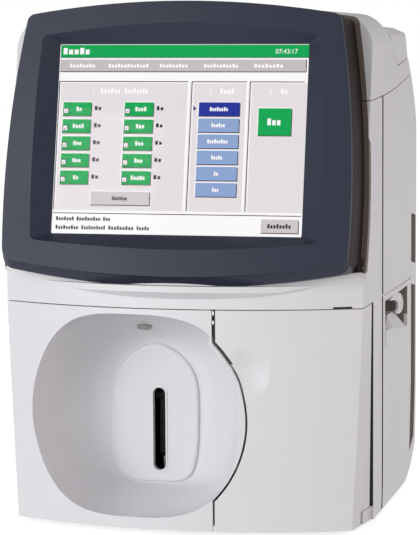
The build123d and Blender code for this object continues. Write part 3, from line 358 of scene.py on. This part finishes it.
# the seam and recess masks in these finishes paint shade into the pieces' colours
node_finishes = {
    "door_shell": dark_door_edge(white_finish("door_white"), SEAM_SHADE),
    "sample_panel": dark_panel_edge(
        glossy_dish(white_finish("panel_white"), DISH_ROUGHNESS), SEAM_SHADE),
    "front_frame": dark_places(white_finish("frame_white"), (SIDE_SEAM, DOOR_SEAM), SEAM_SHADE),
    "side_panel_left": dark_places(white_finish("side_white"), (SIDE_SEAM,), SEAM_SHADE),
    "side_panel_right": dark_places(
        dark_places(white_finish("right_side_white"), (SIDE_SEAM,), SEAM_SHADE),
        STRIPS, LINER_BROWN_AND_RECESS_SHADE, axis=0),
    "bezel_shell": surface("shell_dark_brown", srgb(32, 23, 21), rough=0.5, gloss=0.12),
    "bezel_surround": dark_places(
        surface("trim_brown_grey_strip", TRIM_BROWN, rough=0.5, gloss=0.2),
        (((None, None, None), (None, None, TRIM_FOOT)),), WHITE),
    "recess_liners": surface("recess_brown_grey", LINER_BROWN_AND_RECESS_SHADE, rough=0.5, gloss=0.3),
    "slot_rim": white_finish("slot_rim_white", rough=0.22, gloss=0.5),
    "sampler_arm": surface("sampler_black", srgb(16, 15, 15), rough=0.5, gloss=0.2),
    # the sampler housing is black plastic darkened further as painted shade of the cavity behind the
    # slot
    "sampler_housing": surface("sampler_shadow_black", srgb(8, 8, 8), rough=0.7, gloss=0.1),
}
slot_of = {row["node"]: row["material_slot"] for row in frame["record"]["subparts"]}
for name, piece in nodes.items():
    finish = node_finishes.get(name, finishes[slot_of[name]])
    if not piece.material_slots:
        piece.data.materials.append(finish)
    for slot in piece.material_slots:
        slot.material = finish


# ---------------------------------------------------------------- display picture
TILT = radians(12.41)           # of the bezel's face, from upright
FOOT = Vector((0, -0.1551, 0.1891))     # where that face's plane starts, on the centre line
UP_FACE = Vector((0, sin(TILT), cos(TILT)))
OUT = Vector((0, -cos(TILT), sin(TILT)))
DISPLAY_DEPTH = -8.95           # of the lit surface behind the bezel's face, in millimetres
LAYER = 0.055                   # step between the layers of the picture
EDGE = 105.6                    # half width of the lit display
TOP, BOTTOM = 221.0, 62.6       # its ends up the tilted face
LINE = 0.75                     # thickness of the drawn key edges


def on_face(x, h, layer):
    """A point of the picture from millimetres across, up the face and its layer."""
    depth = DISPLAY_DEPTH + layer * LAYER
    return FOOT + (Vector((x, 0, 0)) + UP_FACE * h + OUT * depth) * MILLIMETRE


def flat_piece(name, outlines, layer, color):
    """Flat shapes of the display picture, each a list of (x, h), as one piece."""
    points, faces = [], []
    for outline in outlines:
        faces.append(tuple(range(len(points), len(points) + len(outline))))
        points += [on_face(x, h, layer) for x, h in outline]
    mesh = bpy.data.meshes.new(name)
    mesh.from_pydata(points, [], faces)
    mesh.materials.append(glowing(name, srgb(*color)))
    piece = bpy.data.objects.new(name, mesh)
    bpy.context.scene.collection.objects.link(piece)
    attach(piece, "housing")


def corners(box):
    """A rectangle's corners from its left, low, right and high edges."""
    left, low, right, high = box
    return [(left, low), (right, low), (right, high), (left, high)]


def boxes(name, rectangles, layer, color):
    """Rectangles of one colour, as one piece of the display picture."""
    flat_piece(name, [corners(box) for box in rectangles], layer, color)


def inset(box, by):
    """A rectangle made smaller on all its sides."""
    return (box[0] + by, box[1] + by, box[2] - by, box[3] - by)


def key_column(left_edge, top, width, height, pitch, count):
    """A column of keys on the display, from its top left corner."""
    return [
        (left_edge, top - height - pitch * row, left_edge + width, top - pitch * row)
        for row in range(count)
    ]


BLOCK_WIDTH = 0.72              # of a letter's pitch
LOW_BLOCK, HIGH_BLOCK_EVERY = 0.74, 3   # most blocks are lower than the first of every three


def word(x, h, width, height, letters):
    """Plain blocks that stand where a word of so many letters would be."""
    pitch = width / letters
    blocks = []
    for n in range(letters):
        top = h + height * (1.0 if n % HIGH_BLOCK_EVERY == 0 else LOW_BLOCK)
        blocks.append((x + pitch * n, h, x + pitch * (n + BLOCK_WIDTH), top))
    return blocks


def centred_word(box, letters, pitch, height):
    """A word of blocks in the middle of a key."""
    middle_x, middle_h = (box[0] + box[2]) / 2, (box[1] + box[3]) / 2
    return word(middle_x - letters * pitch / 2, middle_h - height / 2, letters * pitch, height,
                letters)


groups = [(-104.8, 82.8, 6.5, 189.7), (9.0, 82.8, 56.0, 189.7), (58.2, 82.8, 104.6, 189.7)]
left_keys = key_column(-101.2, 172.6, 24.2, 11.2, 14.35, 5)
middle_keys = key_column(-48.2, 172.7, 24.6, 11.2, 14.35, 5)
green_keys = left_keys + middle_keys
go_key = (65.5, 145.8, 93.0, 168.2)
blue_keys = key_column(15.1, 173.0, 34.3, 11.3, 13.38, 6)
grey_keys = [(-73.7, 86.9, -23.6, 98.0), (71.5, 65.7, 102.3, 76.7)]
keys = green_keys + [go_key] + blue_keys + grey_keys
menu = (-EDGE, 198.7, 103.4, 208.6)

white = (250, 248, 250)
dark = (52, 46, 50)
green = (0, 166, 80)

# the picture's ground, with its bars and fields
boxes("display_bar", [(-EDGE, 210.2, EDGE, TOP)], 1, (0, 164, 80))
fields = [(-EDGE, 189.9, EDGE, 210.2), (-EDGE, BOTTOM, EDGE, 82.2)]
boxes("display_light_fields", fields, 1, white)
boxes("display_groups", groups, 2, (228, 221, 224))
boxes("display_menu", [menu], 2, (196, 189, 191))
rules = [(box[0] - 0.4, box[3], box[2] - 1.5, box[3] + LINE) for box in groups]
rules += [(box[0] - LINE - 0.2, box[1], box[0] - 0.2, box[3] + LINE) for box in groups]
rules += [(-EDGE, 79.3, 104.4, 80.0), (-EDGE, 210.0, EDGE, 210.5)]
rules += [(menu[0], menu[1] - LINE, menu[2] + LINE, menu[1])]
rules += [(menu[2], menu[1], menu[2] + LINE, menu[3])]
boxes("display_rules", rules, 3, dark)
rims = [(box[2] - 1.6, box[1], box[2] + 0.6, box[3]) for box in groups[:2]]
rims += [(box[0], box[1], box[0] + 0.9, box[3]) for box in groups]
rims += [(box[0], box[3] - 0.9, box[2], box[3]) for box in groups]
boxes("display_rims", rims, 3, white)

# raised keys: a dark lower right edge, a pale upper left edge, the face
shades = [(box[0], box[1] - LINE, box[2] + LINE, box[3] - LINE) for box in keys]
boxes("display_key_shades", shades, 3, dark)
lights = [(box[0] - LINE, box[1], box[2], box[3] + LINE) for box in keys]
boxes("display_key_lights", lights, 4, white)
boxes("display_keys_green", green_keys + [go_key], 5, green)
boxes("display_key_blue", blue_keys[:1], 5, (32, 48, 152))
boxes("display_keys_pale", blue_keys[1:], 5, (140, 164, 206))
boxes("display_keys_grey", grey_keys, 5, (204, 198, 200))

# check boxes with a tick, and the state beside each key
checks = [(box[0] + 0.2, box[1] + 1.4, box[0] + 5.0, box[1] + 6.4) for box in green_keys]
boxes("display_check_boxes", checks, 6, dark)
boxes("display_check_fields", [inset(box, 0.7) for box in checks], 7, white)
ticks = []
for left, low, right, high in checks:
    ticks.append([(left + 1.2, low + 2.6), (left + 2.1, low + 1.1), (right - 0.7, high - 1.0),
                  (left + 2.2, low + 2.2)])
flat_piece("display_ticks", ticks, 8, dark)
states = []
for left_edge, column in ((-73.9, left_keys), (-20.7, middle_keys)):
    for box in column:
        states += word(left_edge, box[1] + 4.6, 6.6, 3.4, 2)
boxes("display_states", states, 5, dark)

# blocks in place of the words
menu_words = [(-97.1, 22.3, 8), (-63.8, 35.0, 13), (-19.7, 24.4, 9), (17.8, 29.4, 11),
              (60.3, 24.8, 8)]
pale_words = []
for x, width, letters in menu_words:
    pale_words += word(x, 201.9, width, 3.2, letters)
for x, width, letters in ((-69.5, 17.5, 6), (-48.8, 20.5, 8), (32.5, 12.5, 4), (83.5, 6.2, 2)):
    pale_words += word(x, 180.0, width, 4.4, letters)
for box, letters in zip(left_keys, (2, 4, 3, 3, 2)):
    pale_words += centred_word((box[0] + 4, box[1], box[2], box[3]), letters, 2.5, 3.6)
for box, letters in zip(middle_keys, (4, 3, 3, 3, 5)):
    pale_words += centred_word((box[0] + 4, box[1], box[2], box[3]), letters, 2.5, 3.6)
for box, letters in zip(blue_keys, (8, 6, 9, 5, 2, 3)):
    pale_words += centred_word(box, letters, 1.95, 3.4)
pale_words += centred_word(go_key, 3, 4.0, 5.6)
pale_words += word(-103.4, 213.0, 24, 5.4, 5)
boxes("display_pale_words", pale_words, 6, white)
dark_words = centred_word(grey_keys[0], 6, 2.2, 3.4) + centred_word(grey_keys[1], 8, 2.5, 3.6)
for x, h, width, letters in ((-102.6, 73.4, 16, 7), (-84.8, 73.4, 21, 9), (-62, 73.4, 6.5, 3),
                             (-102.6, 66.2, 20, 9), (-80.4, 66.2, 21, 10), (-57.2, 66.2, 22, 9),
                             (-33, 66.2, 11, 5)):
    dark_words += word(x, h, width, 3.3, letters)
boxes("display_dark_words", dark_words, 6, dark)
flat_piece("display_pointer", [[(10.5, 170.0), (10.5, 165.6), (13.1, 167.8)]], 5, (32, 30, 120))


TYPE_SIZE = 1.4                 # the type's size over the height of its digits


def display_number(name, text, x, h, height):
    """A plain number on the display, its lower left corner at x, h."""
    curve = bpy.data.curves.new(name, "FONT")
    curve.body = text
    curve.size = height * TYPE_SIZE * MILLIMETRE
    curve.materials.append(glowing(name, srgb(*white)))
    piece = bpy.data.objects.new(name, curve)
    bpy.context.scene.collection.objects.link(piece)
    turn = Matrix((Vector((1, 0, 0)), UP_FACE, OUT)).transposed().to_4x4()
    piece.matrix_world = Matrix.Translation(on_face(x, h, 6)) @ turn
    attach(piece, "housing")


display_number("display_clock", "07:43:17", 77.5, 213.6, 3.9)
for number, x in (("1", -77), ("2", 22.5), ("3", 73.5)):
    display_number("display_step_" + number, number, x, 180, 4.6)

# ---------------------------------------------------------------- moulded pieces


def smooth_line(points, steps=6):
    """Points on a smooth curve through the given ones."""
    line = []
    last = len(points) - 1
    for index in range(last):
        before, start = points[max(index - 1, 0)], points[index]
        end, after = points[index + 1], points[min(index + 2, last)]
        for step in range(steps):
            t = step / steps
            line.append(tuple(
                0.5 * (2 * b + (c - a) * t + (2 * a - 5 * b + 4 * c - d) * t**2
                       + (3 * b - a - 3 * c + d) * t**3)
                for a, b, c, d in zip(before, start, end, after)
            ))
    return line + [points[last]]


def skin_between(mesh, sections):
    """Adds a closed body between outlines of equal count, each a list of (x, y, z) in mm."""
    rings = [[mesh.verts.new(Vector(point) * MILLIMETRE) for point in ring] for ring in sections]
    count = len(rings[0])
    for ring, onward in zip(rings, rings[1:]):
        for n in range(count):
            after = (n + 1) % count
            mesh.faces.new((ring[n], ring[after], onward[after], onward[n]))
    mesh.faces.new(rings[0][::-1])
    mesh.faces.new(rings[-1])


def moulded_piece(name, body, material, rounding=0.0, smooth=False):
    """Makes a finished body a piece that rides on the housing; rounding is in metres."""
    bmesh.ops.recalc_face_normals(body, faces=body.faces)
    mesh = bpy.data.meshes.new(name)
    body.to_mesh(mesh)
    body.free()
    if smooth:
        mesh.shade_smooth()
    mesh.materials.append(material)
    piece = bpy.data.objects.new(name, mesh)
    bpy.context.scene.collection.objects.link(piece)
    if rounding:
        bevel = piece.modifiers.new("rounding", "BEVEL")
        bevel.width = rounding
        bevel.segments = 2
        bevel.limit_method = "ANGLE"
    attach(piece, "housing")
    return piece


# ---------------------------------------------------------------- hook in the side recess
STRAP_SIDES = (151.2, 153.4)            # x of the hook's strap, in millimetres
HOOK_ROUNDING = 0.0009
MOUND_BACK, MOUND_RIDGE, MOUND_FOOT = 140.5, 149.5, 154.6       # x of the mound's outlines


def make_hook():
    """A moulded hook that curls over the recess, and the mound below it, from (y, z) outlines."""
    outer = smooth_line([(18, 181.5), (36, 182.6), (57, 182.2), (76, 178.2), (86, 171),
                         (83, 165), (71, 162.6), (54, 163.4)])
    inner = smooth_line([(50, 167), (57, 168.4), (58, 172), (50, 175.8), (36, 178), (18, 179.6)])
    strap = outer + inner
    low_edge = [(-13, 158), (12, 155.8), (24, 154.6), (52, 151.9), (91, 148.4), (94, 148),
                (94, 142), (-13, 142)]
    ridge = [(-12, 158.4), (20, 161), (23, 166.4), (52, 166.2), (90, 152.8), (93, 150),
             (93, 142), (-12, 142)]
    body = bmesh.new()
    skin_between(body, [[(x, y, z) for y, z in strap] for x in STRAP_SIDES])
    mound = ((MOUND_BACK, ridge), (MOUND_RIDGE, ridge), (MOUND_FOOT, low_edge))
    skin_between(body, [[(x, y, z) for y, z in ring] for x, ring in mound])
    hook = moulded_piece("hook_moulded", body, finishes["warm_white"], HOOK_ROUNDING)
    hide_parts("wand_hook")


make_hook()

# ---------------------------------------------------------------- lower corners of the bezel's shell
CORNER_NEAR, CORNER_FAR = 30.0, 37.5    # depths behind the tilted face, in millimetres
CORNER_ROUNDING = 0.0006


def make_shell_corner(side):
    """The shell's lower corner, square where it meets the trim; side is 1 for right, -1 for left."""
    near = [(139.5, 36.2), (148.9, 37.2), (148.9, 48.0)]        # (x, h) on the tilted face
    far = [(139.5, 36.4), (153.3, 38.0), (153.3, 50.0)]
    foot = FOOT / MILLIMETRE
    sections = [[foot + Vector((side * x, 0, 0)) + UP_FACE * h - OUT * depth for x, h in outline]
                for outline, depth in ((near, CORNER_NEAR), (far, CORNER_FAR))]
    body = bmesh.new()
    skin_between(body, sections)
    name = "shell_corner_right" if side > 0 else "shell_corner_left"
    moulded_piece(name, body, node_finishes["bezel_shell"], CORNER_ROUNDING)


for side in (1, -1):
    make_shell_corner(side)

# ---------------------------------------------------------------- lip between the dish and the seam
FRONT_CENTRE, FRONT_RADIUS = 213.0, 358.6       # y and radius of the bowed front, in millimetres
LIP_TURNS, LIP_STEPS = (22.3, 44.7), 12         # degrees round the dish that the lip runs
LIP_TOPS = (162, 164, 166, 168)         # heights of its sections above the arc
LIP_WALL = 0.7                          # thickness of the wall behind it
# by height: how far the lip is dented behind the front, its width, and where
# its wall ends
LIP_DENT = ((131, 2.8), (134, 2.85), (137, 2.5), (140, 1.7), (143, 0.9), (145.5, 0.2), (170, 0.12))
LIP_WIDTH = ((131, 2.2), (137, 3.0), (150, 3.6), (160, 3.4), (166, 1.6), (170, 1.0))
LIP_BACK = ((131, -128), (138, -124), (141.5, -118), (150, -109), (161, -104), (170, -103))


def along_curve(points, at):
    """The value at a place, on straight lines between (place, value) points."""
    for (start, low), (end, high) in zip(points, points[1:]):
        if at <= end:
            return low + (high - low) * max(0.0, at - start) / (end - start)
    return points[-1][1]


def make_bay_lip():
    """A lip and wall that close the dish at its upper right, along the door's seam."""
    center_x, center_z, door_radius = (value / MILLIMETRE for value in DOOR_ARC)
    radius = door_radius - SEAM_GAP / MILLIMETRE
    path = []
    first, last = LIP_TURNS
    for step in range(LIP_STEPS + 1):
        turn = radians(first + (last - first) * step / LIP_STEPS)
        path.append((center_x + radius * cos(turn), center_z + radius * sin(turn),
                     -cos(turn), -sin(turn)))
    path += [((DOOR_EDGE - SEAM_GAP) / MILLIMETRE, z, -1.0, 0.0) for z in LIP_TOPS]
    sections = []
    for x, z, inward_x, inward_z in path:
        front = FRONT_CENTRE - sqrt(FRONT_RADIUS**2 - x**2) + along_curve(LIP_DENT, z)
        lip, rear = along_curve(LIP_WIDTH, z), along_curve(LIP_BACK, z)
        # points as the distance inward from the edge and y: the rounded lip, then the wall
        profile = [(0, front), (lip - 0.9, front), (lip - 0.25, front + 0.35), (lip, front + 1.1),
                   (lip * 0.8 + 0.1, front + 2.8), (lip * 0.45 + 0.4, front + 5.5),
                   (lip * 0.2 + 0.6, front + 9), (LIP_WALL, rear), (0, rear)]
        sections.append([(x + inward_x * into, y, z + inward_z * into) for into, y in profile])
    body = bmesh.new()
    skin_between(body, sections)
    moulded_piece("bay_lip", body, node_finishes["slot_rim"], smooth=True)


make_bay_lip()

# ---------------------------------------------------------------- floor and light
LAMP_AIM = Vector((0, 0, 0.2))
FLOOR_SIZE, FLOOR_PLACE = 12, (0, 1, 0)
FLOOR_GREY = 0.7
FLOOR_GLOW = 0.78               # what the floor adds to its lit colour, so that it reads as white


def make_floor():
    """A pale floor that is white where it is lit and keeps the object's shadow."""
    bpy.ops.mesh.primitive_plane_add(size=FLOOR_SIZE, location=FLOOR_PLACE)
    floor = bpy.context.object
    floor.name = "floor"
    material = bpy.data.materials.new("floor_white")
    material.use_nodes = True
    tree = material.node_tree
    shader = tree.nodes["Principled BSDF"]
    shader.inputs["Base Color"].default_value = (FLOOR_GREY, FLOOR_GREY, FLOOR_GREY, 1)
    shader.inputs["Roughness"].default_value = 0.9
    shader.inputs["Specular IOR Level"].default_value = 0.1
    path = tree.nodes.new("ShaderNodeLightPath")
    glow = tree.nodes.new("ShaderNodeEmission")
    glow.inputs["Color"].default_value = (1, 1, 1, 1)
    seen = calculate(tree, "MAXIMUM", path.outputs["Is Camera Ray"], path.outputs["Is Glossy Ray"])
    seen = calculate(tree, "MAXIMUM", seen, path.outputs["Is Transmission Ray"])
    tree.links.new(calculate(tree, "MULTIPLY", seen, FLOOR_GLOW), glow.inputs["Strength"])
    both = tree.nodes.new("ShaderNodeAddShader")
    tree.links.new(shader.outputs["BSDF"], both.inputs[0])
    tree.links.new(glow.outputs["Emission"], both.inputs[1])
    tree.links.new(both.outputs["Shader"], tree.nodes["Material Output"].inputs["Surface"])
    floor.data.materials.append(material)
    floor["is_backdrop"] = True


HORIZON_LIGHT, ZENITH_LIGHT = 0.66, 0.3


def make_world():
    """Soft light from all round, weaker from above, seen by the camera as white."""
    world = bpy.data.worlds.new("studio")
    world.use_nodes = True
    bpy.context.scene.world = world
    tree = world.node_tree
    ground = tree.nodes["Background"]
    ground.inputs["Color"].default_value = (1, 1, 1, 1)
    place = tree.nodes.new("ShaderNodeTexCoord")
    split = tree.nodes.new("ShaderNodeSeparateXYZ")
    tree.links.new(place.outputs["Generated"], split.inputs[0])
    fade = linked(tree, "ShaderNodeMapRange",
                  (split.outputs["Z"], 0.0, 0.8, HORIZON_LIGHT, ZENITH_LIGHT))
    tree.links.new(fade.outputs[0], ground.inputs["Strength"])
    white = tree.nodes.new("ShaderNodeBackground")
    white.inputs["Color"].default_value = (1, 1, 1, 1)
    white.inputs["Strength"].default_value = 1.0
    path = tree.nodes.new("ShaderNodeLightPath")
    mix = tree.nodes.new("ShaderNodeMixShader")
    tree.links.new(path.outputs["Is Camera Ray"], mix.inputs["Fac"])
    tree.links.new(ground.outputs["Background"], mix.inputs[1])
    tree.links.new(white.outputs["Background"], mix.inputs[2])
    tree.links.new(mix.outputs["Shader"], tree.nodes["World Output"].inputs["Surface"])


def lamp(name, place, size, watts, color):
    """A square soft box that faces the object."""
    data = bpy.data.lights.new(name, "AREA")
    data.shape = "SQUARE"
    data.size = size
    data.energy = watts
    data.color = color
    light = bpy.data.objects.new(name, data)
    light.location = place
    light.rotation_euler = (LAMP_AIM - Vector(place)).to_track_quat("-Z", "Y").to_euler()
    bpy.context.scene.collection.objects.link(light)


make_floor()
make_world()
lamp("key", (-1.5, -2.6, 0.7), 1.5, 51, (0.98, 0.985, 1.0))
lamp("fill", (2.7, -0.9, 0.6), 1.6, 18, (1.0, 0.9, 0.88))

bpy.context.scene.view_settings.view_transform = "Standard"

# ---------------------------------------------------------------- size


def plain(box):
    """A box as plain numbers that can be written as JSON."""
    return [[float(v) for v in corner] for corner in box]


{"cad": plain(cad_box), "visual": plain(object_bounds())}
